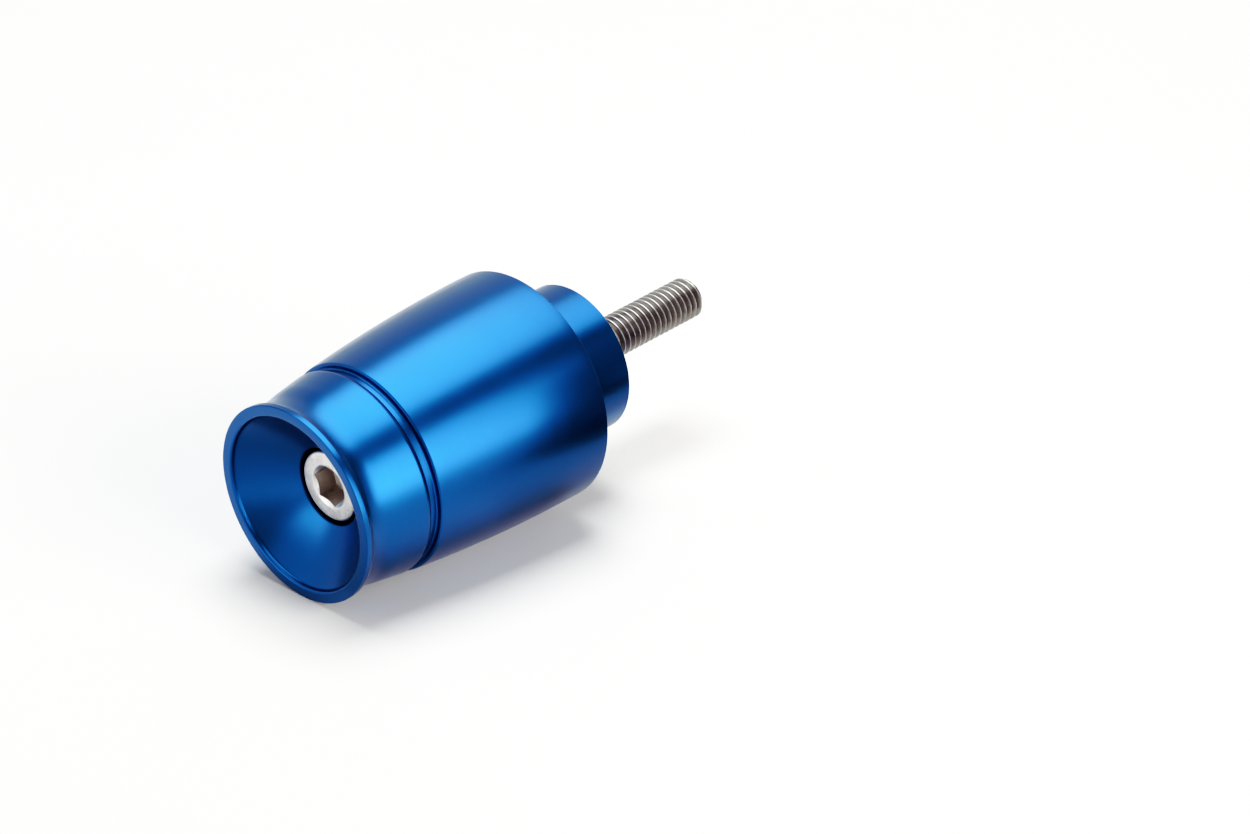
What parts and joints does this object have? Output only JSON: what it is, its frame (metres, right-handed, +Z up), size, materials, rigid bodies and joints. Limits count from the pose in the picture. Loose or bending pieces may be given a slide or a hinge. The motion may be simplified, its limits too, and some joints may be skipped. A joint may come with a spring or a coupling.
{
  "type": "bar end weight",
  "caption": "Turned aluminium bar end weight with a cupped end, a grooved barrel, a locating spigot and a socket head cap screw through its axis.",
  "frame": {"origin": "centre of the shoulder face, which bears on the end of the grip or bar", "axes": "+X along the axis, from the cup towards the screw's tip and into the handlebar; +Z up, as fitted on a level bar"},
  "size_m": [0.0741, 0.033, 0.033],
  "materials": {
    "anodised_blue": "satin blue anodised, with fine turning marks",
    "screw_steel": "bare stainless steel"
  },
  "bodies": {
    "root": {"weight": "anodised_blue", "socket_head_screw": "screw_steel"}
  },
  "joints": []
}
